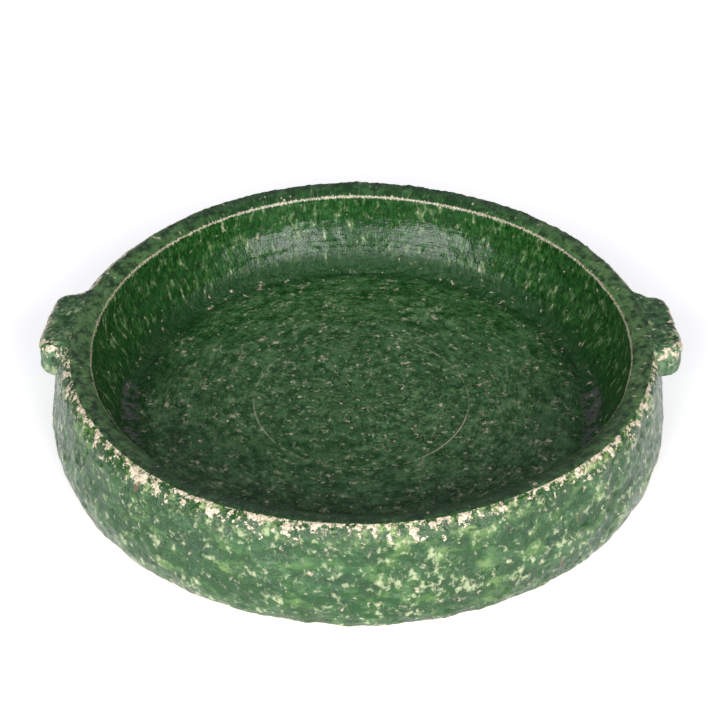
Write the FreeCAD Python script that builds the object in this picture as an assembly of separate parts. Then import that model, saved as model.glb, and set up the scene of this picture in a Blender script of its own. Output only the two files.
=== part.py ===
"""Glazed earthenware serving dish with two lug handles, in millimetres.

Row frame: +Z up, the dish stands on Z = 0 and its axis is the Z axis. The lugs lie on the X axis.

The clay body is a floor slab set inside a thick wall ring, with a lug luted to each side. Slip, the
potter's liquid clay, fills each joint. A thick glaze coats everything above the glaze line, and breaks
over the two edges of the rim, so it is built as separate zones: bowl, rim, outside and one per lug.

Sections are drawn in the XZ plane, where X is the radius, and turned round the Z axis.
"""

import FreeCAD
import Part

import math
import os

V = FreeCAD.Vector
Z_AXIS = V(0, 0, 1)
ORIGIN = V(0, 0, 0)

# Overall sizes
overall_height = 63.0  # table to the crown of the rim
rim_outer_radius = 166.0  # outer edge of the rim

# Rim
rim_width = 11.5  # from the outer edge to the inner edge
rim_crown_radius = 15.0  # rounding across the top of the rim
rim_crown_inset = 1.0  # the crown's highest line lies this far inside the outer edge

# Outside of the wall
belly_overhang = 13.0  # the widest point stands this far out past the rim's outer edge
belly_height = 18.0  # height of the widest point
belly_curve_radius = 44.0  # vertical curve of the belly
shoulder_radius = 14.0  # rounding from the rim to the straight side
shoulder_fall = 34.0  # degrees below level that the shoulder starts at, at the rim's outer edge
foot_corner_radius = 7.0  # rounding from the belly to the foot

# Inside of the bowl
floor_thickness = 10.0  # table to the glazed floor
wall_lean = 13.5  # the wall would meet the floor this far inside the rim's inner edge
gutter_radius = 8.0  # rounding between the floor and the wall

# Foot and underside
foot_width = 28.0  # flat ring that the dish stands on
foot_recess_depth = 1.5  # the underside inside the foot is raised by this
foot_recess_slope = 3.0  # radial run of the step up to the underside

# Joints and coats
slab_margin = 13.0  # the slab's edge lies this far inside the foot of the leaning wall
slip_thickness = 0.8  # slip left in each joint after firing
glaze_thickness = 1.0  # coat on every glazed face
glaze_line_height = 3.5  # the outside is bare clay below this

# Lugs
lug_length = 18.0  # rim's outer edge to the lug's tip, over the glaze
lug_neck_width = 62.0  # across the lug where its hollow flare ends
lug_neck_run = 4.0  # the flare ends this far out from the rim's outer edge
lug_flare = 6.0  # the flare widens each side by this, down to the rim
lug_flare_hollow = 1.5  # depth of the flare's hollow curve below a straight line
lug_taper = 2.0  # each side draws in by this from the neck to the tip
lug_thickness = 22.0  # top face to underside
lug_corner_radius = 7.0  # plan corners at the tip
lug_edge_radius = 4.5  # rounding of the lug's upper and lower edges
lug_swing = 2.4  # degrees that each lug stands to +Y of the diameter

CUT = 30.0  # how far a cutting shape runs past what it cuts

# Radii that follow from the sizes above
belly_radius = rim_outer_radius + belly_overhang
floor_radius = rim_outer_radius - rim_width - wall_lean
floor_slab_radius = floor_radius - slab_margin
lug_reach = rim_outer_radius + lug_length


# ---------------------------------------------------------------- plane geometry


def point(radius, height):
    """A point of a section, in the XZ plane."""
    return V(radius, 0, height)


def on_circle(centre, radius, toward):
    """The point of a circle that lies from its centre toward another point."""
    return centre + (toward - centre).normalize() * radius


def touching_line(upper, upper_radius, lower, lower_radius):
    """The ends of the straight line that touches two circles of the section on their outer sides."""
    between = upper - lower
    spread = math.acos((lower_radius - upper_radius) / between.Length)
    lean = math.atan2(between.z, between.x) - spread
    normal = point(math.cos(lean), math.sin(lean))
    return upper + normal * upper_radius, lower + normal * lower_radius


def arc(centre, radius, start, end):
    """The shorter arc of a circle from start to end."""
    middle = on_circle(centre, radius, (start + end) * 0.5)
    return Part.Arc(start, middle, end).toShape()


def line(start, end):
    return Part.LineSegment(start, end).toShape()


def polygon_face(points):
    return Part.Face(Part.makePolygon(points + points[:1]))


def section(face, grow=0):
    """The half of a face that lies outward of the axis, after moving its outline out by grow."""
    if grow:
        face = face.makeOffset2D(grow, 2)
    reach = lug_reach + CUT
    half = polygon_face(
        [
            point(0, -CUT),
            point(reach, -CUT),
            point(reach, overall_height + CUT),
            point(0, overall_height + CUT),
        ]
    )
    return face.common(half).Faces[0]


def turned(face):
    """The solid of revolution of a section round the Z axis, its seam away from the lugs."""
    solid = face.revolve(ORIGIN, Z_AXIS, 360)
    solid.rotate(ORIGIN, Z_AXIS, 90)
    return solid


def below(height):
    """Everything under a height, as wide as any cut needs."""
    reach = lug_reach + CUT
    return Part.makeCylinder(reach, height + CUT, V(0, 0, -CUT))


def column(radius):
    """Everything within a radius of the axis."""
    return Part.makeCylinder(radius, overall_height + 2 * CUT, V(0, 0, -CUT))


def tidy(shape):
    """One clean solid, or a compound of the shape's solids."""
    solids = shape.removeSplitter().Solids
    return solids[0] if len(solids) == 1 else Part.makeCompound(solids)


# ---------------------------------------------------------------- the dish's section

# Rim: one arc between its two edges.
crown_centre = point(rim_outer_radius - rim_crown_inset, overall_height - rim_crown_radius)


def crown_point(radius):
    """The point of the rim's crown at a radius from the axis."""
    run = radius - crown_centre.x
    return point(radius, crown_centre.z + math.sqrt(rim_crown_radius**2 - run**2))


outer_edge = crown_point(rim_outer_radius)
inner_edge = crown_point(rim_outer_radius - rim_width)

# Outside: shoulder, straight side, belly and foot corner, each tangent to the next.
fall = math.radians(shoulder_fall)
shoulder_centre = outer_edge - point(math.sin(fall), math.cos(fall)) * shoulder_radius
belly_centre = point(belly_radius - belly_curve_radius, belly_height)
side_top, side_bottom = touching_line(
    shoulder_centre,
    shoulder_radius,
    belly_centre,
    belly_curve_radius,
)
corner_reach = belly_curve_radius - foot_corner_radius
corner_drop = belly_height - foot_corner_radius
corner_centre = point(
    belly_centre.x + math.sqrt(corner_reach**2 - corner_drop**2),
    foot_corner_radius,
)
corner_start = on_circle(corner_centre, foot_corner_radius, corner_centre * 2 - belly_centre)
foot_outer = point(corner_centre.x, 0)

# Inside: the leaning wall, the gutter tangent to the wall and the floor, then the floor.
floor_corner = point(floor_radius, floor_thickness)
wall_direction = (inner_edge - floor_corner).normalize()
wall_angle = math.atan2(wall_direction.z, wall_direction.x)
gutter_run = gutter_radius * math.tan(wall_angle / 2)
gutter_floor = floor_corner - point(gutter_run, 0)
gutter_wall = floor_corner + wall_direction * gutter_run
gutter_centre = gutter_floor + point(0, gutter_radius)

# Underside.
foot_inner = point(foot_outer.x - foot_width, 0)
recess_edge = point(foot_inner.x - foot_recess_slope, foot_recess_depth)


def outside_edges():
    """The section's edges from the rim's outer edge down to the foot."""
    return [
        arc(shoulder_centre, shoulder_radius, outer_edge, side_top),
        line(side_top, side_bottom),
        arc(belly_centre, belly_curve_radius, side_bottom, corner_start),
        arc(corner_centre, foot_corner_radius, corner_start, foot_outer),
    ]


def dish_face():
    """The whole dish over its glaze, drawn on past the axis."""
    floor_end = point(-CUT, floor_thickness)
    underside_end = point(-CUT, foot_recess_depth)
    edges = [
        line(floor_end, gutter_floor),
        arc(gutter_centre, gutter_radius, gutter_floor, gutter_wall),
        line(gutter_wall, inner_edge),
        arc(crown_centre, rim_crown_radius, inner_edge, outer_edge),
        *outside_edges(),
        line(foot_outer, foot_inner),
        line(foot_inner, recess_edge),
        line(recess_edge, underside_end),
        line(underside_end, floor_end),
    ]
    return Part.Face(Part.Wire(edges))


def filled_face():
    """All that lies inside the outer profile, with no bowl and no foot recess."""
    top_end = point(-CUT, outer_edge.z)
    bottom_end = point(-CUT, 0)
    edges = [
        line(top_end, outer_edge),
        *outside_edges(),
        line(foot_outer, bottom_end),
        line(bottom_end, top_end),
    ]
    return Part.Face(Part.Wire(edges))


def bowl_zone():
    """Everything on the bowl's side of the rim's inner edge, split along the edge's bisector."""
    crown_tangent = (inner_edge - crown_centre).normalize().cross(V(0, 1, 0))
    if crown_tangent.x < 0:
        crown_tangent = crown_tangent * -1
    into_clay = (crown_tangent - wall_direction).normalize()
    deep = inner_edge + into_clay * (3 * glaze_thickness)
    high = inner_edge - into_clay * CUT
    return turned(
        polygon_face(
            [
                point(0, -CUT),
                point(0, high.z),
                high,
                deep,
                point(deep.x, -CUT),
            ]
        )
    )


# ---------------------------------------------------------------- lugs


def flare(side, height):
    """The hollow arc at one side of the lug's root, from the rim out to the neck."""
    half_root = lug_neck_width / 2 + lug_flare
    root_radius = rim_outer_radius - 1
    start = V(math.sqrt(root_radius**2 - half_root**2), side * half_root, height)
    end = V(rim_outer_radius + lug_neck_run, side * lug_neck_width / 2, height)
    run = end - start
    inward = V(run.y, -run.x, 0).normalize() * side
    return start, (start + end) * 0.5 + inward * lug_flare_hollow, end


def lug_plan(height):
    """The lug's outline from above, with a hollow flare at each side of its root."""
    inside = rim_outer_radius - rim_width
    front_start, front_middle, front_end = flare(-1, height)
    back_start, back_middle, back_end = flare(1, height)
    front_inside = V(inside, front_start.y, height)
    back_inside = V(inside, back_start.y, height)
    half_tip = lug_neck_width / 2 - lug_taper
    front_tip = V(lug_reach, -half_tip, height)
    back_tip = V(lug_reach, half_tip, height)
    edges = [
        line(front_inside, front_start),
        Part.Arc(front_start, front_middle, front_end).toShape(),
        line(front_end, front_tip),
        line(front_tip, back_tip),
        line(back_tip, back_end),
        Part.Arc(back_end, back_middle, back_start).toShape(),
        line(back_start, back_inside),
        line(back_inside, front_inside),
    ]
    return Part.Face(Part.Wire(edges))


def lug_block(inset):
    """One lug toward +X, run in through the wall, with its free faces taken in by inset."""
    top = outer_edge.z - inset
    bottom = outer_edge.z - lug_thickness + inset
    plan = lug_plan(bottom)
    if inset:
        plan = plan.makeOffset2D(-inset, 2)
    block = plan.extrude(V(0, 0, top - bottom))
    tip = block.BoundBox.XMax
    corners = [
        edge
        for edge in block.Edges
        if edge.BoundBox.ZLength > 1 and edge.BoundBox.XMin > tip - 1
    ]
    block = block.makeFillet(lug_corner_radius - inset, corners)
    rims = [
        edge
        for edge in block.Edges
        if edge.BoundBox.ZLength < 1 and edge.BoundBox.XMax > rim_outer_radius + 1
    ]
    block = block.makeFillet(lug_edge_radius - inset, rims)
    block.rotate(ORIGIN, Z_AXIS, lug_swing)
    return block


def both_lugs(right):
    """A lug shape toward +X and its mirror toward -X, by name."""
    return {"right": right, "left": right.mirror(ORIGIN, V(1, 0, 0))}


# ---------------------------------------------------------------- the pieces


def clay_body():
    """The dish's clay in one: bare under the glaze, full size below the glaze line."""
    under_glaze = turned(section(dish_face(), -glaze_thickness))
    whole = turned(section(dish_face()))
    return under_glaze.fuse(whole.common(below(glaze_line_height))), whole


def build():
    clay, whole = clay_body()
    coat = whole.cut(clay)
    seam_radius = floor_slab_radius + slip_thickness
    parts = {
        "floor_slab": clay.common(column(floor_slab_radius)),
        "floor_slip_seam": clay.common(column(seam_radius)).cut(column(floor_slab_radius)),
        "wall_ring": clay.cut(column(seam_radius)),
    }

    bowl = bowl_zone()
    upper_coat = coat.cut(bowl)
    glazed_lugs = both_lugs(lug_block(0))
    outside = upper_coat.cut(column(rim_outer_radius))
    for lug in glazed_lugs.values():
        outside = outside.cut(lug)
    parts["bowl_glaze"] = coat.common(bowl)
    parts["rim_glaze"] = upper_coat.common(column(rim_outer_radius))
    parts["outer_glaze"] = outside

    wall_face = turned(section(filled_face(), -glaze_thickness))
    slip_face = turned(section(filled_face(), slip_thickness - glaze_thickness))
    lug_clay = lug_block(glaze_thickness)
    shapes = {
        "lug": lug_clay.cut(slip_face),
        "lug_slip_seam": lug_clay.common(slip_face).cut(wall_face),
        "lug_glaze": lug_block(0).cut(lug_clay).cut(wall_face),
    }
    for suffix, shape in shapes.items():
        outboard = shape.cut(column(rim_outer_radius))
        for side, piece in both_lugs(outboard).items():
            parts[f"{side}_{suffix}"] = piece
    return {name: tidy(shape) for name, shape in parts.items()}


def main():
    os.makedirs("parts", exist_ok=True)
    for name, shape in build().items():
        shape.exportStep(f"parts/{name}.step")
        box = shape.BoundBox
        print(
            f"{name}: {len(shape.Solids)} solid, valid {shape.isValid()}, {shape.Volume / 1000:.1f} cm3,"
            f" X {box.XMin:.2f}..{box.XMax:.2f}, Y {box.YMin:.2f}..{box.YMax:.2f},"
            f" Z {box.ZMin:.2f}..{box.ZMax:.2f}"
        )


main()
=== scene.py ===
# Glazed earthenware dish with two lug handles: its surfaces, glazes, studio and camera.
#
# Metres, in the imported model's frame: +Z up, the dish's axis on Z, lugs toward +X and -X, front
# toward -Y. One section line runs over the whole pot, from the middle of the bowl's floor over the
# rim and round to the middle of the underside. A place on the skin is how far along that line it
# lies and its angle round the axis. The pot's pieces are cut from this one skin, so neighbours
# share edges.
# The lugs have a skin of their own that starts at the rim.

import itertools
import math

import bpy
import numpy as np
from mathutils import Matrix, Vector


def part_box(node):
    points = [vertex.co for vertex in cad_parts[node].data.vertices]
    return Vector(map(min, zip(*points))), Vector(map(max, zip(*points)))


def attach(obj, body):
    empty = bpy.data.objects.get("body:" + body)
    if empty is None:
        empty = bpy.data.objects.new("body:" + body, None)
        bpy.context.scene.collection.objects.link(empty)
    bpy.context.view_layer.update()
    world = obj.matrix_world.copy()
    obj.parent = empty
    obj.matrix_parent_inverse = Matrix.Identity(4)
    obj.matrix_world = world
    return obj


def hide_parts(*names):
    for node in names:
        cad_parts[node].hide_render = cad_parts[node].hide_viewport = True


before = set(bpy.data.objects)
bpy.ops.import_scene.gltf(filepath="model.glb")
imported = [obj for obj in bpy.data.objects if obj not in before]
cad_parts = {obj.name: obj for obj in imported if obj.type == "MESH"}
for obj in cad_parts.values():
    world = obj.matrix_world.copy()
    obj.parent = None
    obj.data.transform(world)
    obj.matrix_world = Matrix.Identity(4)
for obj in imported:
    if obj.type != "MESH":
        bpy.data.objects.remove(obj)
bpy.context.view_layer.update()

# ---------------------------------------------------------------- sizes


def mm(value):
    return value / 1000


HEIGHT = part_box("rim_glaze")[1].z
RIM_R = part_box("rim_glaze")[1].x  # outer edge of the rim
BELLY_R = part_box("outer_glaze")[1].y
GLAZE_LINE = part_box("outer_glaze")[0].z
GLAZE = mm(1.0)
FLOOR_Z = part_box("bowl_glaze")[0].z + GLAZE
RECESS_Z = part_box("floor_slab")[0].z
SLAB_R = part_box("floor_slab")[1].x
SEAM_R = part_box("floor_slip_seam")[1].x
LUG_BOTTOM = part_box("right_lug_glaze")[0].z

RIM_WIDTH = mm(11.5)
CROWN_R = mm(15)
CROWN_INSET = mm(1)
SHOULDER_R = mm(14)
SHOULDER_FALL = math.radians(34)
BELLY_CURVE = mm(44)
BELLY_Z = mm(18)
FOOT_CORNER = mm(7)
FOOT_WIDTH = mm(28)
FOOT_STEP = mm(3)
FLOOR_R = mm(141)
GUTTER_R = mm(8)
WALL_HOLLOW = mm(2.4)  # how far the inner wall sags outward from a straight line
HOLLOW_LIFT = 1.4  # above 1, the wall sags most above its middle
INCISED_RING_R = mm(64.5)

LUG_REACH = mm(184)
LUG_ROOT = mm(37)  # half widths across the lug
LUG_NECK = mm(31)
LUG_NECK_RUN = mm(4)
LUG_FLARE = mm(1.5)
LUG_TIP = mm(29)
LUG_CORNER = mm(11)
LUG_EDGE_TOP = mm(6)
LUG_EDGE_BOTTOM = mm(5)
LUG_SWING = math.radians(2.4)

CLAY_DEPTH = mm(1.3)  # the clay lies this deep under the glazed surface
ARRIS = mm(2.6)  # width of the rounding at the rim's two edges
STEP = mm(0.1)  # spacing of the points that a section line is worked out from
COLUMNS = 1152  # points round the dish

# ---------------------------------------------------------------- number tools


def smooth(value, low, high):
    """0 below low, 1 above high, and an even curve between."""
    part = np.clip((value - low) / (high - low), 0, 1)
    return part * part * (3 - 2 * part)


def noise(points, size, seed):
    """Smooth noise of about -1 to 1 in space, with lumps of a size in metres."""
    cells = 64
    table = np.random.default_rng(seed).normal(size=(cells, cells, cells, 3))
    table /= np.linalg.norm(table, axis=-1, keepdims=True)
    place = points / size
    cell = np.floor(place).astype(int)
    part = place - cell
    fade = part**3 * (part * (part * 6 - 15) + 10)
    total = np.zeros(points.shape[:-1])
    for corner in itertools.product((0, 1), repeat=3):
        i, j, k = np.moveaxis((cell + corner) % cells, -1, 0)
        weight = np.prod(np.where(corner, fade, 1 - fade), axis=-1)
        total += weight * np.sum(table[i, j, k] * (part - corner), axis=-1)
    return total * 1.9


def straight(start, end):
    """Points along a line of the section, up to but not including its end."""
    start, end = np.array(start), np.array(end)
    count = max(2, round(np.linalg.norm(end - start) / STEP))
    return start + (end - start) * (np.arange(count) / count)[:, None]


def arc(centre, radius, start, end):
    """Points along the shorter arc of the section, up to but not including its end."""
    first = math.atan2(start[1] - centre[1], start[0] - centre[0])
    last = math.atan2(end[1] - centre[1], end[0] - centre[0])
    turn = (last - first + math.pi) % (2 * math.pi) - math.pi
    count = max(2, round(abs(turn) * radius / STEP))
    angles = first + turn * np.arange(count) / count
    return np.array(centre) + radius * np.column_stack([np.cos(angles), np.sin(angles)])


def hollow(start, end):
    """Points along the inner wall, which sags outward a little between its ends."""
    points = straight(start, end)
    share = np.linspace(0, 1, len(points), endpoint=False)[:, None]
    along = (np.array(end) - start) / np.linalg.norm(np.array(end) - start)
    return points + WALL_HOLLOW * np.sin(np.pi * share**HOLLOW_LIFT) ** 2 * [along[1], -along[0]]


def lengths(points):
    """How far along a line each of its points lies."""
    steps = np.linalg.norm(np.diff(points, axis=0), axis=1)
    return np.concatenate([[0], np.cumsum(steps)])


def on_circle(centre, radius, toward):
    direction = np.array(toward) - centre
    return centre + direction * (radius / np.linalg.norm(direction))


# ---------------------------------------------------------------- the pot's section line


def pot_section():
    """The dense section line, with how far along it each named place lies."""
    crown = np.array([RIM_R - CROWN_INSET, HEIGHT - CROWN_R])
    outer_edge = crown + [CROWN_INSET, math.sqrt(CROWN_R**2 - CROWN_INSET**2)]
    inner_run = CROWN_INSET - RIM_WIDTH
    inner_edge = crown + [inner_run, math.sqrt(CROWN_R**2 - inner_run**2)]

    fall = np.array([math.sin(SHOULDER_FALL), math.cos(SHOULDER_FALL)])
    shoulder = outer_edge - SHOULDER_R * fall
    belly = np.array([BELLY_R - BELLY_CURVE, BELLY_Z])
    between = shoulder - belly
    spread = math.acos((BELLY_CURVE - SHOULDER_R) / np.linalg.norm(between))
    lean = math.atan2(between[1], between[0]) - spread
    side = np.array([math.cos(lean), math.sin(lean)])
    side_top, side_bottom = shoulder + side * SHOULDER_R, belly + side * BELLY_CURVE
    corner_reach = BELLY_CURVE - FOOT_CORNER
    corner_drop = BELLY_Z - FOOT_CORNER
    corner = np.array([belly[0] + math.sqrt(corner_reach**2 - corner_drop**2), FOOT_CORNER])
    corner_start = on_circle(belly, BELLY_CURVE, corner)
    foot_outer = (corner[0], 0)
    foot_inner = (corner[0] - FOOT_WIDTH, 0)
    recess = (foot_inner[0] - FOOT_STEP, RECESS_Z)

    floor_corner = np.array([FLOOR_R, FLOOR_Z])
    wall = (inner_edge - floor_corner) / np.linalg.norm(inner_edge - floor_corner)
    gutter_run = GUTTER_R * math.tan(math.atan2(wall[1], wall[0]) / 2)
    gutter_floor = floor_corner - [gutter_run, 0]
    gutter_wall = floor_corner + wall * gutter_run
    gutter = gutter_floor + [0, GUTTER_R]

    stretches = {
        "floor": straight((0, FLOOR_Z), gutter_floor),
        "gutter": arc(gutter, GUTTER_R, gutter_floor, gutter_wall),
        "wall": hollow(gutter_wall, inner_edge),
        "rim": arc(crown, CROWN_R, inner_edge, outer_edge),
        "shoulder": arc(shoulder, SHOULDER_R, outer_edge, side_top),
        "side": straight(side_top, side_bottom),
        "belly": arc(belly, BELLY_CURVE, side_bottom, corner_start),
        "corner": arc(corner, FOOT_CORNER, corner_start, foot_outer),
        "foot": straight(foot_outer, foot_inner),
        "step": straight(foot_inner, recess),
        "underside": straight(recess, (0, RECESS_Z)),
    }
    line = np.concatenate([*stretches.values(), [(0, RECESS_Z)]])
    along = lengths(line)
    counts = np.cumsum([0] + [len(points) for points in stretches.values()])
    marks = {name: along[start] for name, start in zip(stretches, counts)}
    marks["end"] = along[-1]
    return line, along, marks


def rounded(line):
    """The line with its corners rounded, by averaging each point with its neighbours."""
    reach = round(ARRIS / STEP / 2)
    kernel = np.ones(2 * reach + 1) / (2 * reach + 1)
    padded = np.pad(line, ((reach, reach), (0, 0)), mode="edge")
    columns = [np.convolve(padded[:, k], kernel, mode="valid") for k in (0, 1)]
    result = np.column_stack(columns)
    result[:reach] = line[:reach]
    result[-reach:] = line[-reach:]
    return result


sharp_line, ALONG, MARK = pot_section()
SOFT_LINE = rounded(sharp_line)
tangents = np.gradient(SOFT_LINE, axis=0)
tangents /= np.linalg.norm(tangents, axis=1, keepdims=True)
NORMALS = np.column_stack([-tangents[:, 1], tangents[:, 0]])
ARRIS_DROP = sharp_line[:, 1] - SOFT_LINE[:, 1]
INNER_EDGE = MARK["rim"]
OUTER_EDGE = MARK["shoulder"]
low_outside = (ALONG > MARK["belly"]) & (SOFT_LINE[:, 1] <= GLAZE_LINE)
GLAZE_END = float(ALONG[low_outside][0])


def along_line(values, s):
    return np.interp(s, ALONG, values)


# ---------------------------------------------------------------- the potter's hand


def warp(points):
    """Pulls the true round shape about, as a hand-built pot is."""
    x, y, z = np.moveaxis(points, -1, 0)
    radius = np.hypot(x, y)
    angle = np.arctan2(y, x)
    up = np.clip(z / HEIGHT, 0, 1.05)
    out = smooth(radius, mm(120), mm(165))
    wander = (
        0.55 * np.cos(2 * angle - 0.6)
        + 0.4 * np.cos(3 * angle + 1.1)
        + 0.3 * np.cos(5 * angle + 2.0)
        + 0.2 * np.cos(9 * angle - 0.4)
    )
    heave = (
        0.35 * np.cos(2 * angle + 1.9)
        + 0.3 * np.cos(4 * angle - 0.8)
        + 0.25 * np.cos(7 * angle + 0.5)
    )
    radius = radius + mm(wander) * up * out
    swirl = np.radians(0.5) * np.where(x < 0, -1, 1) * out * smooth(np.abs(x), mm(60), mm(140))
    angle = angle - np.abs(swirl)
    z = z + mm(heave) * up**2 * out
    low = np.sin(np.pi * np.clip(z / HEIGHT, 0, 1)) ** 0.5 * smooth(radius, mm(158), mm(168))
    lean = mm(-1.4) * low
    radius = radius + mm(1.6) * low * np.exp(-(((angle + 2.3) / 0.45) ** 2))
    return np.stack([radius * np.cos(angle) + lean, radius * np.sin(angle), z], axis=-1)


def relief(points, lumps, knobs, grit, crust):
    """How far the surface stands out at each point, given how strong each kind of roughness is."""
    height = lumps * noise(points, mm(15), 11)
    height += knobs * noise(points, mm(6), 12)
    height += grit * noise(points, mm(2.8), 13)
    pits = smooth(noise(points + mm(40), mm(5), 14), 0.42, 0.75)
    height -= knobs * 1.3 * pits
    crumbs = np.abs(noise(points, mm(4.2), 15)) + 0.6 * np.abs(noise(points, mm(2.3), 16))
    height += crust * (crumbs - 0.45)
    return height


# How strong each roughness is on the floor, the inner wall, the rim and the outside.
ROUGHNESS = ((0.08, 0.3, 0.22, 0.8), (0.05, 0.18, 0.12, 0.42), (0.03, 0.08, 0.07, 0.16))


def by_zone(s, floor, wall, rim, outside):
    """A value that changes from zone to zone of the section line, with short blends."""
    places = [
        0,
        MARK["gutter"],
        MARK["wall"] + mm(6),
        INNER_EDGE - mm(3),
        INNER_EDGE + mm(2),
        OUTER_EDGE - mm(2),
        OUTER_EDGE + mm(4),
        MARK["end"],
    ]
    return np.interp(s, places, [floor, floor, wall, wall, rim, rim, outside, outside])


def from_rim(kind, seam):
    """The strength that a lug takes over from the rim's outer edge, dying out over its seam."""
    return (1 - seam) * float(by_zone(OUTER_EDGE, *ROUGHNESS[kind]))


# ---------------------------------------------------------------- the pot's skin

LUG_HALF_ANGLE = math.asin(LUG_ROOT / RIM_R)
LUG_ANGLES = {"right": LUG_SWING, "left": math.pi - LUG_SWING}


def lug_sector(angle):
    """1 where a lug stands on the rim, 0 elsewhere."""
    inside = np.zeros_like(angle)
    for centre in LUG_ANGLES.values():
        off = np.abs((angle - centre + math.pi) % (2 * math.pi) - math.pi)
        inside = np.maximum(inside, smooth(LUG_HALF_ANGLE - off, 0, math.radians(2)))
    return inside


def pot_skin(s, depth, columns):
    """Rows of points at places s along the section, sunk by depth, and the materials' facts."""
    s = np.asarray(s, float)[:, None]
    depth = np.broadcast_to(np.asarray(depth, float).reshape(-1, 1), s.shape)
    angle = np.linspace(-math.pi, math.pi, columns, endpoint=False)[None, :]
    lug = lug_sector(angle)
    near_edge = smooth(s, OUTER_EDGE - mm(5), OUTER_EDGE - mm(1)) * (s <= OUTER_EDGE + mm(1))
    radius = along_line(SOFT_LINE[:, 0], s)
    height = along_line(SOFT_LINE[:, 1], s) + lug * near_edge * along_line(ARRIS_DROP, s)
    normal_out = along_line(NORMALS[:, 0], s) * (1 - lug * near_edge)
    normal_up = along_line(NORMALS[:, 1], s) * (1 - lug * near_edge) + lug * near_edge
    cos, sin = np.cos(angle), np.sin(angle)
    points = np.stack([radius * cos, radius * sin, height + 0 * angle], axis=-1)
    normals = np.stack([normal_out * cos, normal_out * sin, normal_up + 0 * angle], axis=-1)
    normals /= np.linalg.norm(normals, axis=-1, keepdims=True)
    to_outer = np.abs(s - OUTER_EDGE) + lug * mm(20) * (s < OUTER_EDGE + mm(1))
    to_inner = np.abs(s - INNER_EDGE) + 0 * angle
    bare = smooth(s, GLAZE_END, GLAZE_END + mm(2))
    stands = relief(
        points,
        mm(by_zone(s, *ROUGHNESS[0])) * (1 - 0.5 * bare),
        mm(by_zone(s, *ROUGHNESS[1])) * (1 - 0.6 * bare),
        mm(by_zone(s, *ROUGHNESS[2])),
        mm(0.75) * np.exp(-((to_outer / mm(3)) ** 2)),
    )
    grounded = smooth(s, MARK["foot"] - mm(3), MARK["foot"])
    stands = stands * (1 - grounded)
    sunk = depth > mm(0.7)
    moved = points + normals * (stands * np.where(sunk, 0.5, 1) - depth)[..., None]
    return warp(moved), {
        "polar": np.stack([cos + 0 * s, sin + 0 * s, s + 0 * angle], axis=-1),
        "to_outer": to_outer,
        "to_inner": to_inner,
        "relief": stands * 1000,
    }


# ---------------------------------------------------------------- the lugs' skin


def lug_outline(count):
    """Points and outward normals along a lug's outline from above, from front root to back root."""
    root = np.array([math.sqrt((RIM_R - mm(1)) ** 2 - LUG_ROOT**2), -LUG_ROOT])
    neck = np.array([RIM_R + LUG_NECK_RUN, -LUG_NECK])
    chord = neck - root
    run = np.linalg.norm(chord)
    across = np.array([-chord[1], chord[0]]) / run
    flare_r = (run**2 / 4 + LUG_FLARE**2) / (2 * LUG_FLARE)
    flare_centre = (root + neck) / 2 + across * (LUG_FLARE - flare_r)
    if flare_centre[1] > neck[1]:
        flare_centre = (root + neck) / 2 - across * (LUG_FLARE - flare_r)
    corner = np.array([LUG_REACH - LUG_CORNER, -LUG_TIP + LUG_CORNER])
    side_end = corner + [0, -LUG_CORNER]
    tip_start = corner + [LUG_CORNER, 0]
    front = np.concatenate(
        [
            arc(flare_centre, flare_r, root, neck),
            straight(neck, side_end),
            arc(corner, LUG_CORNER, side_end, tip_start),
            straight(tip_start, (LUG_REACH, 0)),
        ]
    )
    whole = np.concatenate([front, [(LUG_REACH, 0)], front[::-1] * [1, -1]])
    along = lengths(whole)
    places = np.linspace(0, along[-1], count)
    points = np.column_stack([np.interp(places, along, whole[:, k]) for k in (0, 1)])
    tangent = np.gradient(points, axis=0)
    tangent /= np.linalg.norm(tangent, axis=1, keepdims=True)
    return points, np.column_stack([tangent[:, 1], -tangent[:, 0]])


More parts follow.
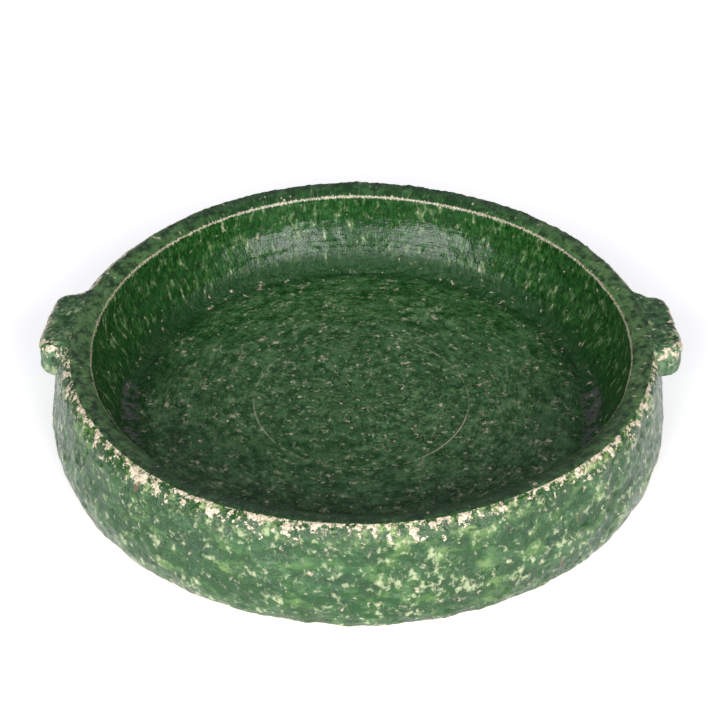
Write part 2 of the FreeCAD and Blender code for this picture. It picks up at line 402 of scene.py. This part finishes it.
def lug_skin(side, depth, columns, rows):
    """Rows of points from the rim over the lug's top, round its edge and back under to the wall."""
    outline, out = lug_outline(columns)
    angle = np.linspace(-LUG_HALF_ANGLE, LUG_HALF_ANGLE, columns)
    rim = RIM_R * np.column_stack([np.cos(angle), np.sin(angle)])
    reach = np.linalg.norm(outline - rim, axis=1)
    top_r = np.minimum(LUG_EDGE_TOP, 0.9 * reach)[:, None]
    bottom_r = LUG_EDGE_BOTTOM
    level = HEIGHT - mm(0.03)
    top_inner = outline - out * top_r
    bottom_inner = outline - out * bottom_r
    wall = rim * (1 - mm(3) / RIM_R)
    up, level_out = np.array([0, 0, 1.0]), np.column_stack([out, np.zeros(columns)])

    def at(plan, height):
        return np.column_stack([plan, np.broadcast_to(height, columns)])

    points, normals = [], []
    for t in [0, 0.004, *np.linspace(0, 1, rows["top"])[1:]]:
        points.append(at(rim + (top_inner - rim) * t, level - mm(0.5) * t**2))
        normals.append(np.broadcast_to(up, (columns, 3)))
    for turn in np.linspace(0, math.pi / 2, rows["edge"])[1:]:
        drop = top_r[:, 0] * (1 - math.cos(turn)) + mm(0.5)
        points.append(at(top_inner + out * top_r * math.sin(turn), level - drop))
        normals.append(up * math.cos(turn) + level_out * math.sin(turn))
    edge_row = rows["top"] + 1 + rows["edge"] // 2
    side_top = level - mm(0.5) - top_r[:, 0]
    side_bottom = LUG_BOTTOM + bottom_r
    for t in np.linspace(0, 1, rows["side"])[1:]:
        points.append(at(outline, side_top + (side_bottom - side_top) * t))
        normals.append(level_out)
    for turn in np.linspace(0, math.pi / 2, rows["edge"])[1:]:
        plan = bottom_inner + out * bottom_r * math.cos(turn)
        points.append(at(plan, side_bottom - bottom_r * math.sin(turn)))
        normals.append(level_out * math.cos(turn) - up * math.sin(turn))
    for t in np.linspace(0, 1, rows["under"])[1:]:
        points.append(at(bottom_inner + (wall - bottom_inner) * t, LUG_BOTTOM))
        normals.append(np.broadcast_to(-up, (columns, 3)))
    points, normals = np.array(points), np.array(normals)

    steps = np.linalg.norm(np.diff(points, axis=0), axis=-1)
    along = np.concatenate([np.zeros((1, columns)), np.cumsum(steps, axis=0)])
    to_outer = np.abs(along - along[edge_row])
    flip = -1 if side == "left" else 1
    turn_x, turn_y = math.cos(LUG_SWING), math.sin(LUG_SWING)
    for array in (points, normals):
        x, y = array[..., 0].copy(), array[..., 1].copy()
        array[..., 0] = (x * turn_x - y * turn_y) * flip
        array[..., 1] = x * turn_y + y * turn_x
    topside = smooth(normals[..., 2], 0.2, 0.9)
    seam = smooth(along, 0, mm(6))
    stands = relief(
        points,
        mm(from_rim(0, seam) + seam * (0.75 - 0.35 * topside)),
        mm(from_rim(1, seam) + seam * (0.36 - 0.14 * topside)),
        mm(from_rim(2, seam) + seam * (0.16 - 0.05 * topside)),
        mm(0.7) * np.exp(-((to_outer / mm(4)) ** 2)) * seam,
    )
    share = 0.5 if depth > mm(0.7) else 1
    moved = points + normals * (stands * share - depth)[..., None]
    angles = np.arctan2(points[..., 1], points[..., 0])
    return warp(moved), {
        "polar": np.stack([np.cos(angles), np.sin(angles), OUTER_EDGE + along], axis=-1),
        "to_outer": to_outer,
        "to_inner": np.full_like(to_outer, 1.0),
        "relief": stands * 1000,
    }


# ---------------------------------------------------------------- meshes


def add_piece(name, points, faces, facts, material, replaced):
    """One mesh object with the facts that its material reads, standing for a CAD node."""
    mesh = bpy.data.meshes.new(name)
    mesh.from_pydata(points.tolist(), [], faces)
    for key, values in facts.items():
        kind = "FLOAT_VECTOR" if values.ndim == 2 else "FLOAT"
        layer = mesh.attributes.new(key, kind, "POINT")
        layer.data.foreach_set("vector" if values.ndim == 2 else "value", values.ravel())
    mesh.materials.append(material)
    mesh.shade_smooth()
    mesh.update()
    piece = bpy.data.objects.new(name, mesh)
    bpy.context.collection.objects.link(piece)
    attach(piece, "root")
    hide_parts(replaced)
    return piece


def grid_faces(rows, columns, rows_close, columns_close):
    """Quads of a grid of points, numbered row by row, wound to face out of the skin."""
    row = np.arange(rows if rows_close else rows - 1)
    column = np.arange(columns if columns_close else columns - 1)
    i, j = np.meshgrid(row, column, indexing="ij")
    below, right = (i + 1) % rows, (j + 1) % columns
    quads = np.stack(
        [i * columns + j, below * columns + j, below * columns + right, i * columns + right],
        axis=-1,
    )
    return quads.reshape(-1, 4).tolist()


def ring_piece(name, s, depth, columns, material, replaced):
    """A closed band round the dish: its rows run once round its own cross-section."""
    points, facts = pot_skin(s, depth, columns)
    faces = grid_faces(len(s), columns, True, True)
    flat = {key: value.reshape(-1, *value.shape[2:]) for key, value in facts.items()}
    return add_piece(name, points.reshape(-1, 3), faces, flat, material, replaced)


def disc_piece(name, s, depth, columns, material, replaced):
    """A closed disc: its rows run from the axis on top out to the edge and back below."""
    points, facts = pot_skin(s, depth, columns)
    rows = len(s)
    faces = grid_faces(rows, columns, False, True)
    first, last = rows * columns, rows * columns + 1
    start = (rows - 1) * columns
    for j in range(columns):
        right = (j + 1) % columns
        faces.append([first, j, right])
        faces.append([last, start + right, start + j])
    flat = {}
    for key, value in facts.items():
        ends = [value[0].mean(axis=0), value[-1].mean(axis=0)]
        flat[key] = np.concatenate([value.reshape(-1, *value.shape[2:]), np.array(ends)])
    ends = np.array([points[0].mean(axis=0), points[-1].mean(axis=0)])
    vertices = np.concatenate([points.reshape(-1, 3), ends])
    return add_piece(name, vertices, faces, flat, material, replaced)


def lug_piece(name, side, layers, material, replaced):
    """A closed patch over one lug, from layers of rows that run round its cross-section."""
    points = np.concatenate([grid for grid, facts in layers])
    facts = {
        key: np.concatenate([facts[key] for grid, facts in layers]) for key in layers[0][1]
    }
    rows, columns = points.shape[:2]
    faces = grid_faces(rows, columns, True, False)
    faces.append([row * columns for row in range(rows)][::-1])
    faces.append([row * columns + columns - 1 for row in range(rows)])
    if side == "left":
        faces = [face[::-1] for face in faces]
    flat = {key: value.reshape(-1, *value.shape[2:]) for key, value in facts.items()}
    return add_piece(name, points.reshape(-1, 3), faces, flat, material, replaced)


def reversed_layer(layer):
    grid, facts = layer
    return grid[::-1], {key: value[::-1] for key, value in facts.items()}


def spaced(start, end, spacing):
    return np.linspace(start, end, max(2, round(abs(end - start) / spacing) + 1))


def held(rows):
    """The rows with one more just inside each end, so that shading doesn't bleed over the ends."""
    nudge = np.sign(rows[-1] - rows[0]) * mm(0.05)
    between = [rows[0] + nudge, *rows[1:-1], rows[-1] - nudge]
    return np.concatenate([rows[:1], between, rows[-1:]])


# ---------------------------------------------------------------- materials


def srgb(red, green, blue):
    """A colour given in everyday 0 to 255 steps, in the linear values that Blender works in."""
    parts = [value / 255 for value in (red, green, blue)]
    return [p / 12.92 if p <= 0.04045 else ((p + 0.055) / 1.055) ** 2.4 for p in parts] + [1.0]


class Nodes:
    """Short names for building one material's nodes."""

    def __init__(self, name):
        self.material = bpy.data.materials.new(name)
        self.material.use_nodes = True
        self.tree = self.material.node_tree
        self.shader = self.tree.nodes["Principled BSDF"]
        self.place = self.add("ShaderNodeTexCoord").outputs["Object"]

    def add(self, kind, **settings):
        node = self.tree.nodes.new(kind)
        for key, value in settings.items():
            setattr(node, key, value)
        return node

    def set(self, socket, value):
        if isinstance(value, bpy.types.NodeSocket):
            self.tree.links.new(value, socket)
        else:
            socket.default_value = value

    def fact(self, name):
        return self.add("ShaderNodeAttribute", attribute_name=name)

    def math(self, operation, a, b=0.0, c=0.0):
        node = self.add("ShaderNodeMath", operation=operation)
        for socket, value in zip(node.inputs, (a, b, c)):
            self.set(socket, value)
        return node.outputs[0]

    def step(self, value, low, high):
        """0 below low, 1 above high, smooth between."""
        node = self.add("ShaderNodeMapRange", interpolation_type="SMOOTHSTEP")
        for name, number in (("Value", value), ("From Min", low), ("From Max", high)):
            self.set(node.inputs[name], number)
        return node.outputs["Result"]

    def noise(self, size, detail=3.0, roughness=0.55, where=None, offset=0.0, stretch=None):
        vector = where if where is not None else self.place
        mapping = self.add("ShaderNodeMapping")
        self.set(mapping.inputs["Vector"], vector)
        mapping.inputs["Location"].default_value = (offset, offset * 0.7, -offset)
        mapping.inputs["Scale"].default_value = stretch or (1, 1, 1)
        node = self.add("ShaderNodeTexNoise")
        self.set(node.inputs["Vector"], mapping.outputs[0])
        self.set(node.inputs["Scale"], 1 / size)
        self.set(node.inputs["Detail"], detail)
        self.set(node.inputs["Roughness"], roughness)
        return node.outputs["Fac"]

    def mix(self, amount, a, b):
        node = self.add("ShaderNodeMix", data_type="RGBA")
        self.set(node.inputs[0], amount)
        self.set(node.inputs[6], a)
        self.set(node.inputs[7], b)
        return node.outputs[2]

    def bump(self, height, distance, strength=1.0, below=None):
        node = self.add("ShaderNodeBump")
        self.set(node.inputs["Height"], height)
        node.inputs["Distance"].default_value = distance
        node.inputs["Strength"].default_value = strength
        if below is not None:
            self.set(node.inputs["Normal"], below)
        return node.outputs["Normal"]

    def polar(self):
        """The place on the skin: cosine and sine of the angle, and how far along the section."""
        return self.fact("polar").outputs["Vector"]

    def split(self, vector):
        node = self.add("ShaderNodeSeparateXYZ")
        self.set(node.inputs[0], vector)
        return node.outputs

    def near(self, value, centre, full, none):
        """1 within full of a centre, 0 further than none from it."""
        off = self.math("ABSOLUTE", self.math("SUBTRACT", value, centre))
        return self.step(off, none, full)

    def times(self, *values):
        result = values[0]
        for value in values[1:]:
            result = self.math("MULTIPLY", result, value)
        return result

    def most(self, *values):
        result = values[0]
        for value in values[1:]:
            result = self.math("MAXIMUM", result, value)
        return result

    def spread(self, value, gain, middle):
        """A noise drawn out to the given strength about a new middle."""
        return self.math("MULTIPLY_ADD", value, gain, middle - gain / 2)

    def finish(self, colour, roughness, normal):
        self.set(self.shader.inputs["Base Color"], colour)
        self.set(self.shader.inputs["Roughness"], roughness)
        self.set(self.shader.inputs["Normal"], normal)
        return self.material


CLAY = srgb(214, 202, 180)
CLAY_DARK = srgb(158, 142, 116)
RUST = srgb(96, 60, 44)

# How the polar place is stretched, so that a noise runs down the wall or round the dish.
DOWN = (0.16, 0.16, 0.25)
ROUND = (0.022, 0.022, 1)


def shades(n, tones, mottle, broad):
    """The glaze's own greens, from dark through middle to light."""
    dark, middle, light = tones
    colour = n.mix(n.step(mottle, 0.36, 0.6), dark, middle)
    return n.mix(n.times(n.step(mottle, 0.48, 0.7), n.step(broad, 0.36, 0.64)), colour, light)


def worn(n, edge, width, ragged):
    """1 on the bare clay within about a width of an edge of the rim, where ragged is about 1."""
    reach = n.math("DIVIDE", n.fact(edge).outputs["Fac"], width)
    return n.step(n.math("SUBTRACT", ragged, reach), 0.0, 0.35)


def bare_clay(n):
    return n.mix(n.step(n.noise(mm(1.3), 3, 0.6, offset=0.9), 0.38, 0.62), CLAY_DARK, CLAY)


def skin_bump(n, parts):
    """Bumps from coarse to fine, each a noise and its height in millimetres."""
    normal = None
    for height, size in parts:
        normal = n.bump(height, mm(size), below=normal)
    return normal


def rim_material():
    n = Nodes("glaze_rim")
    polar = n.polar()
    along = n.split(polar)[2]
    mottle = n.noise(mm(4.5), 4, 0.65, where=polar, stretch=(0.1, 0.1, 1))
    broad = n.noise(mm(24), 3, 0.6)
    hairs = n.noise(mm(1.0), 3, 0.6, where=polar, stretch=(0.16, 0.16, 0.22))
    fine = n.noise(mm(0.9), 2, 0.5)
    # The rim's outer half takes greyer, paler greens than its inner half: a painted reflection of
    # the bright surroundings on the glaze.
    reflected_outer_half = n.step(along, INNER_EDGE + mm(4), INNER_EDGE + mm(8))
    inner = shades(n, (srgb(12, 46, 14), srgb(28, 70, 26), srgb(52, 92, 46)), mottle, broad)
    outer = shades(n, (srgb(20, 48, 22), srgb(38, 70, 38), srgb(60, 90, 56)), mottle, broad)
    colour = n.mix(reflected_outer_half, inner, outer)
    colour = n.mix(n.times(n.step(hairs, 0.52, 0.7), 0.3), colour, srgb(120, 138, 104))
    dashes = n.noise(mm(2.6), 2, 0.5, where=polar, stretch=(0.1, 0.1, 0.4), offset=1.7)
    flecks = n.step(dashes, 0.69, 0.74)
    sides = n.step(n.math("ABSOLUTE", n.split(polar)[0]), 0.5, 0.95)
    colour = n.mix(n.times(sides, n.step(mottle, 0.36, 0.62), 0.45), colour, srgb(104, 140, 84))
    line = n.times(worn(n, "to_inner", mm(0.8), n.spread(hairs, 6.0, 0.9)), 0.75)
    crust = worn(n, "to_outer", mm(0.6), n.spread(n.noise(mm(3.2), 4, 0.65, offset=3.3), 7.0, -0.3))
    scars = n.noise(mm(2.2), 3, 0.6, where=polar, stretch=(0.16, 0.16, 0.35), offset=6.6)
    flecks = n.most(flecks, n.times(n.step(scars, 0.655, 0.7), n.step(broad, 0.4, 0.6)))
    bare = n.most(n.times(flecks, 0.8), line, crust)
    colour = n.mix(bare, colour, bare_clay(n))
    normal = skin_bump(n, [(mottle, 0.6), (hairs, 0.35), (fine, 0.12)])
    return n.finish(colour, n.math("MULTIPLY_ADD", bare, 0.2, n.spread(mottle, 0.2, 0.34)), normal)


def lug_material():
    n = Nodes("glaze_lug")
    mottle = n.noise(mm(7), 4, 0.65)
    broad = n.noise(mm(22), 3, 0.6, offset=0.4)
    speck = n.noise(mm(2.4), 3, 0.6, offset=0.7)
    fine = n.noise(mm(0.9), 2, 0.5)
    relief_fact = n.fact("relief").outputs["Fac"]
    colour = shades(n, (srgb(18, 56, 24), srgb(60, 96, 58), srgb(100, 130, 90)), mottle, broad)
    high = n.math("MULTIPLY_ADD", relief_fact, 0.35, speck)
    colour = n.mix(n.times(n.step(high, 0.5, 0.7), 0.75), colour, srgb(152, 164, 124))
    flecks = n.step(n.noise(mm(3.0), 2, 0.55, offset=1.7), 0.67, 0.72)
    crust = worn(n, "to_outer", mm(5.0), n.spread(n.noise(mm(3.6), 4, 0.65, offset=3.3), 8.0, 0.4))
    bare = n.most(n.times(flecks, 0.8), crust)
    colour = n.mix(bare, colour, bare_clay(n))
    normal = skin_bump(n, [(mottle, 1.0), (speck, 0.6), (fine, 0.15)])
    return n.finish(colour, n.math("MULTIPLY_ADD", bare, 0.2, n.spread(mottle, 0.2, 0.34)), normal)


def outer_material():
    n = Nodes("glaze_outside")
    polar = n.polar()
    to_edge = n.fact("to_outer").outputs["Fac"]
    relief_fact = n.fact("relief").outputs["Fac"]
    broad = n.noise(mm(30), 3, 0.6)
    mottle = n.noise(mm(10), 5, 0.62, where=polar, stretch=(0.12, 0.12, 1), offset=0.3)
    speck = n.noise(mm(3.4), 4, 0.6, where=polar, stretch=(0.16, 0.16, 0.8), offset=0.7)
    fine = n.noise(mm(0.9), 2, 0.5)
    crumbs = n.noise(mm(4.6), 5, 0.68, offset=3.3)
    cool = shades(n, (srgb(12, 52, 18), srgb(34, 78, 34), srgb(88, 120, 80)), mottle, broad)
    warm = shades(n, (srgb(6, 52, 6), srgb(28, 76, 20), srgb(90, 120, 60)), mottle, broad)
    colour = n.mix(n.step(broad, 0.42, 0.58), cool, warm)
    high = n.math("MULTIPLY_ADD", relief_fact, 0.1, speck)
    colour = n.mix(n.times(n.step(high, 0.53, 0.72), 0.7), colour, srgb(176, 184, 142))
    near_edge = n.step(to_edge, mm(14), mm(4))
    colour = n.mix(n.times(near_edge, n.step(speck, 0.42, 0.62), 0.5), colour, srgb(136, 158, 90))
    runs = n.noise(mm(7), 4, 0.65, where=polar, stretch=(0.08, 0.08, 1), offset=2.2)
    hollows = n.math("MULTIPLY_ADD", relief_fact, -0.05, runs)
    pools = n.math("MULTIPLY_ADD", near_edge, 0.04, hollows)
    colour = n.mix(n.times(n.step(pools, 0.51, 0.58), 0.9), colour, srgb(4, 60, 4))
    spots = n.times(n.step(n.noise(mm(5.0), 4, 0.6, offset=1.7), 0.61, 0.74), 0.8)
    crust = worn(n, "to_outer", mm(9.0), n.spread(crumbs, 9.0, 0.25))
    thin = worn(n, "to_outer", mm(0.8), n.spread(crumbs, 7.0, 0.4))
    bare = n.most(spots, crust, thin)
    colour = n.mix(bare, colour, bare_clay(n))
    cracks = n.noise(mm(6), 1, 0.4, offset=5.1, where=polar, stretch=(0.16, 0.16, 0.3))
    colour = n.mix(n.times(n.step(cracks, 0.775, 0.79), 0.7), colour, RUST)
    n.shader.inputs["IOR"].default_value = 1.5
    normal = skin_bump(n, [(mottle, 1.8), (crumbs, 1.0), (speck, 0.6), (fine, 0.1)])
    return n.finish(colour, n.math("MULTIPLY_ADD", bare, 0.1, n.spread(mottle, 0.2, 0.15)), normal)


def bowl_material():
    n = Nodes("glaze_bowl")
    polar = n.polar()
    cos, sin, along = n.split(polar)
    gutter = (MARK["gutter"] + MARK["wall"]) / 2
    on_wall = n.step(along, MARK["gutter"] + mm(2), MARK["wall"] + mm(6))
    broad = n.noise(mm(28), 3, 0.6)
    even = n.noise(mm(5), 4, 0.65, offset=0.3)
    fine = n.noise(mm(0.9), 2, 0.5)

    rings = n.noise(mm(1.5), 3, 0.6, where=polar, stretch=ROUND)
    grain = n.noise(mm(1.6), 4, 0.7, offset=1.1)
    bands = n.noise(mm(8), 4, 0.65, where=polar, stretch=(0.045, 0.045, 1), offset=5.5)
    floor_mottle = n.math("MULTIPLY_ADD", rings, 0.15, n.math("MULTIPLY", even, 0.45))
    floor_mottle = n.spread(n.math("MULTIPLY_ADD", bands, 0.4, floor_mottle), 1.5, 0.5)
    floor = shades(n, (srgb(12, 60, 14), srgb(54, 94, 52), srgb(92, 128, 84)), floor_mottle, broad)
    clumps = n.noise(mm(12), 3, 0.6, offset=6.1)
    drops = n.math("MULTIPLY_ADD", clumps, 0.3, n.math("MULTIPLY", grain, 0.7))
    drops = n.math("MULTIPLY_ADD", rings, 0.3, drops)
    floor = n.mix(n.times(n.step(drops, 0.66, 0.78), 0.45), floor, srgb(112, 142, 94))
    blotches = n.noise(mm(5.0), 4, 0.6, offset=7.3, where=polar, stretch=(0.06, 0.06, 1))
    veiled = n.times(n.step(blotches, 0.55, 0.66), n.step(grain, 0.42, 0.58), 0.75)
    floor = n.mix(veiled, floor, srgb(152, 160, 130))
    chips = n.noise(mm(4.4), 4, 0.6, offset=8.1)
    floor_bare = n.most(n.step(chips, 0.635, 0.69), n.step(blotches, 0.66, 0.72))
    holes = n.step(n.noise(mm(2.2), 2, 0.5, offset=9.4), 0.67, 0.72)
    floor = n.mix(n.times(holes, 0.6), floor, srgb(14, 26, 18))

    streaks = n.noise(mm(1.1), 3, 0.6, where=polar, stretch=DOWN)
    wall_mottle = n.math("MULTIPLY_ADD", streaks, 0.5, n.math("MULTIPLY", even, 0.5))
    wall = shades(n, (srgb(12, 46, 12), srgb(32, 76, 30), srgb(70, 110, 58)), wall_mottle, broad)
    runs = n.noise(mm(4.6), 4, 0.65, where=polar, stretch=(0.16, 0.16, 0.5), offset=1.9)
    wall = n.mix(n.times(n.step(runs, 0.53, 0.7), 0.65), wall, srgb(128, 150, 104))
    wall_bare = n.most(n.step(runs, 0.66, 0.72), n.step(chips, 0.66, 0.72))

    colour = n.mix(on_wall, floor, wall)
    # The colour goes darker and deeper green along the gutter, where the glaze is also rougher and
    # more pitted.
    gutter_band = n.near(along, gutter, mm(4), mm(16))
    colour = n.mix(n.times(gutter_band, 0.75), colour, srgb(2, 56, 8))
    line = n.times(worn(n, "to_inner", mm(1.0), n.spread(streaks, 5.0, 0.9)), 0.7)
    bare = n.mix(on_wall, floor_bare, wall_bare)
    bare = n.most(n.times(bare, 0.85), line)

    ring = n.near(along, INCISED_RING_R, mm(0.2), mm(0.6))
    angle = n.math("ARCTAN2", sin, cos)
    front_right = n.near(angle, math.radians(-36), math.radians(14), math.radians(28))
    left = n.near(angle, math.radians(-160), math.radians(14), math.radians(20))
    faint = n.times(n.step(even, 0.4, 0.6), 0.5)
    ring = n.times(ring, n.most(front_right, n.times(left, 0.6), faint))
    bare = n.most(bare, n.times(ring, 0.7))
    colour = n.mix(bare, colour, bare_clay(n))

    # Grey-purple patches in the gutter at the left and right, toward the front: a painted
    # reflection.
    low_side = n.near(n.math("ABSOLUTE", cos), 1.0, 0.03, 0.1)
    gutter_reflection = n.times(low_side, n.near(along, gutter - mm(1), mm(3), mm(9)), n.step(even, 0.46, 0.5))
    colour = n.mix(n.times(gutter_reflection, n.step(sin, 0.12, 0.02), 0.55), colour, srgb(98, 90, 98))
    specks = n.step(n.noise(mm(1.4), 1, 0.5, offset=4.4), 0.74, 0.77)
    colour = n.mix(n.times(specks, 0.8), colour, RUST)

    groove = n.noise(mm(2.4), 2, 0.5, where=polar, stretch=(0.004, 0.004, 1))
    pitted = n.times(n.math("MULTIPLY_ADD", gutter_band, 2.2, 0.5), even)
    drag = n.mix(on_wall, rings, streaks)
    normal = skin_bump(n, [(groove, 0.25), (pitted, 1.0), (drag, 0.2), (fine, 0.08)])
    n.shader.inputs["IOR"].default_value = 1.42
    roughness = n.math("MULTIPLY_ADD", gutter_band, 0.4, n.spread(even, 0.14, 0.15))
    return n.finish(colour, n.math("MULTIPLY_ADD", bare, 0.25, roughness), normal)


def clay_material(name, tint):
    n = Nodes(name)
    broad = n.noise(mm(30), 4, 0.6)
    grit = n.noise(mm(1.6), 4, 0.7, offset=0.4)
    dust = n.noise(mm(0.5), 2, 0.6, offset=0.8)
    base = srgb(*tint)
    colour = n.mix(n.step(broad, 0.35, 0.65), [c * 0.75 for c in base[:3]] + [1], base)
    colour = n.mix(n.step(grit, 0.6, 0.72), colour, CLAY)
    colour = n.mix(n.step(grit, 0.36, 0.28), colour, RUST)
    normal = n.bump(grit, mm(0.5))
    normal = n.bump(dust, mm(0.15), below=normal)
    return n.finish(colour, n.math("MULTIPLY_ADD", grit, 0.2, 0.7), normal)


# ---------------------------------------------------------------- the pieces

clay = clay_material("bare_clay", (176, 136, 98))
slip = clay_material("fired_slip", (164, 128, 96))
bowl_glaze, rim_glaze, outer_glaze, lug_glaze = (
    bowl_material(),
    rim_material(),
    outer_material(),
    lug_material(),
)


def underside(radius):
    """Where along the section line the underside reaches a radius."""
    return MARK["end"] - radius


def build_pot():
    floor_rows = spaced(mm(4), MARK["gutter"] - mm(5), mm(5.2))
    bowl = np.concatenate([floor_rows, held(spaced(MARK["gutter"], INNER_EDGE, mm(1.15)))])
    wall_back = [INNER_EDGE, INNER_EDGE - mm(20), MARK["wall"]]
    bowl_back = np.array([*wall_back, MARK["gutter"], mm(60), mm(4)])
    disc_piece(
        "bowl_coat", np.concatenate([bowl, bowl_back]),
        np.concatenate([0 * bowl, 0 * bowl_back + GLAZE]),
        COLUMNS, bowl_glaze, "bowl_glaze",
    )
    rim = held(spaced(INNER_EDGE, OUTER_EDGE, mm(0.75)))
    rim_back = spaced(OUTER_EDGE, INNER_EDGE, mm(4))
    ring_piece(
        "rim_coat", np.concatenate([rim, rim_back]),
        np.concatenate([0 * rim, 0 * rim_back + GLAZE]),
        COLUMNS, rim_glaze, "rim_glaze",
    )
    outer = held(spaced(OUTER_EDGE, GLAZE_END, mm(1.0)))
    outer_back = spaced(GLAZE_END, OUTER_EDGE, mm(12))
    ring_piece(
        "outside_coat", np.concatenate([outer, outer_back]),
        np.concatenate([0 * outer, 0 * outer_back + GLAZE]),
        COLUMNS, outer_glaze, "outer_glaze",
    )
    hidden = np.concatenate([
        spaced(SEAM_R, MARK["gutter"], mm(5)),
        spaced(MARK["gutter"] + mm(3), GLAZE_END - mm(1), mm(3)),
    ])
    shown = spaced(GLAZE_END - mm(0.5), underside(SEAM_R), mm(1.5))
    ring_piece(
        "clay_wall", np.concatenate([hidden, shown]),
        np.concatenate([0 * hidden + CLAY_DEPTH, 0 * shown + mm(0.35)]),
        COLUMNS // 2, clay, "wall_ring",
    )
    slab_top = spaced(mm(6), SLAB_R, mm(12))
    slab_under = spaced(underside(SLAB_R), underside(mm(6)), mm(6))
    disc_piece(
        "clay_floor", np.concatenate([slab_top, slab_under]),
        np.concatenate([0 * slab_top + CLAY_DEPTH, 0 * slab_under + mm(0.35)]),
        COLUMNS // 2, clay, "floor_slab",
    )
    below = [underside(radius) for radius in (SEAM_R, (SEAM_R + SLAB_R) / 2, SLAB_R)]
    seam = np.array([SLAB_R, SEAM_R, *below])
    ring_piece(
        "slip_floor_seam", seam, np.array([CLAY_DEPTH, CLAY_DEPTH, mm(0.3), mm(0.1), mm(0.3)]),
        COLUMNS // 2, slip, "floor_slip_seam",
    )


def build_lug(side):
    fine = {"top": 26, "edge": 10, "side": 16, "under": 16}
    coarse = {"top": 6, "edge": 5, "side": 4, "under": 4}
    coat = [lug_skin(side, 0.0, 200, fine), reversed_layer(lug_skin(side, GLAZE, 200, coarse))]
    lug_piece(f"{side}_lug_coat", side, coat, lug_glaze, f"{side}_lug_glaze")
    core = [lug_skin(side, CLAY_DEPTH, 100, coarse)]
    lug_piece(f"clay_{side}_lug", side, core, clay, f"{side}_lug")


def warped_copy(node, name, material):
    """A hidden piece: the CAD node's own shape, pulled about as the pot is and drawn in."""
    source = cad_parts[node].data
    points = np.array([vertex.co for vertex in source.vertices])
    centre = points.mean(axis=0)
    points = warp(centre + (points - centre) * 0.95)
    faces = [list(polygon.vertices) for polygon in source.polygons]
    return add_piece(name, points, faces, {}, material, node)


build_pot()
for side in LUG_ANGLES:
    build_lug(side)
    warped_copy(f"{side}_lug_slip_seam", f"slip_{side}_lug", slip)

# ---------------------------------------------------------------- studio


def add_light(name, azimuth, elevation, distance, width, height, power):
    """A softbox that faces the dish. Azimuth 0 is the camera's side and grows toward +X."""
    data = bpy.data.lights.new(name, "AREA")
    data.shape = "RECTANGLE"
    data.size, data.size_y = width, height
    data.energy = power
    light = bpy.data.objects.new(name, data)
    a, e = math.radians(azimuth), math.radians(elevation)
    way = Vector((math.sin(a) * math.cos(e), -math.cos(a) * math.cos(e), math.sin(e)))
    light.location = way * distance
    light.rotation_euler = way.to_track_quat("Z", "Y").to_euler()
    bpy.context.collection.objects.link(light)


def add_floor():
    mesh = bpy.data.meshes.new("studio_floor")
    reach = 12.0
    mesh.from_pydata(
        [(-reach, -reach, 0), (reach, -reach, 0), (reach, reach, 0), (-reach, reach, 0)],
        [],
        [(0, 1, 2, 3)],
    )
    n = Nodes("studio_floor")
    n.finish(srgb(250, 250, 250), 0.9, n.bump(n.noise(mm(40)), mm(0.01)))
    n.shader.inputs["Emission Color"].default_value = srgb(255, 255, 255)
    n.shader.inputs["Emission Strength"].default_value = 0.36
    n.shader.inputs["Specular IOR Level"].default_value = 0.0
    mesh.materials.append(n.material)
    floor = bpy.data.objects.new("studio_floor", mesh)
    bpy.context.collection.objects.link(floor)


def add_studio():
    add_floor()
    add_light("softbox_left", -31, 21, 3.4, 1.6, 2.5, 124)
    add_light("softbox_right", 31, 21, 3.4, 1.6, 2.5, 124)
    world = bpy.data.worlds.new("studio")
    world.use_nodes = True
    background = world.node_tree.nodes["Background"]
    background.inputs["Color"].default_value = srgb(236, 236, 246)
    background.inputs["Strength"].default_value = 0.3
    bpy.context.scene.world = world
    bpy.context.scene.view_settings.view_transform = "Standard"


def add_camera():
    """The camera stands five rim radii from the middle of the rim and looks a little below it."""
    elevation = math.radians(35.58)
    aim_below = math.radians(1.34)
    distance = 5 * RIM_R
    data = bpy.data.cameras.new("camera")
    data.lens = 71.69
    data.sensor_width = 36
    camera = bpy.data.objects.new("camera", data)
    camera.location = (
        0,
        -distance * math.cos(elevation),
        distance * math.sin(elevation) + HEIGHT,
    )
    camera.rotation_euler = (math.pi / 2 - elevation - aim_below, 0, math.radians(0.06))
    bpy.context.collection.objects.link(camera)
    bpy.context.scene.camera = camera


add_studio()
add_camera()
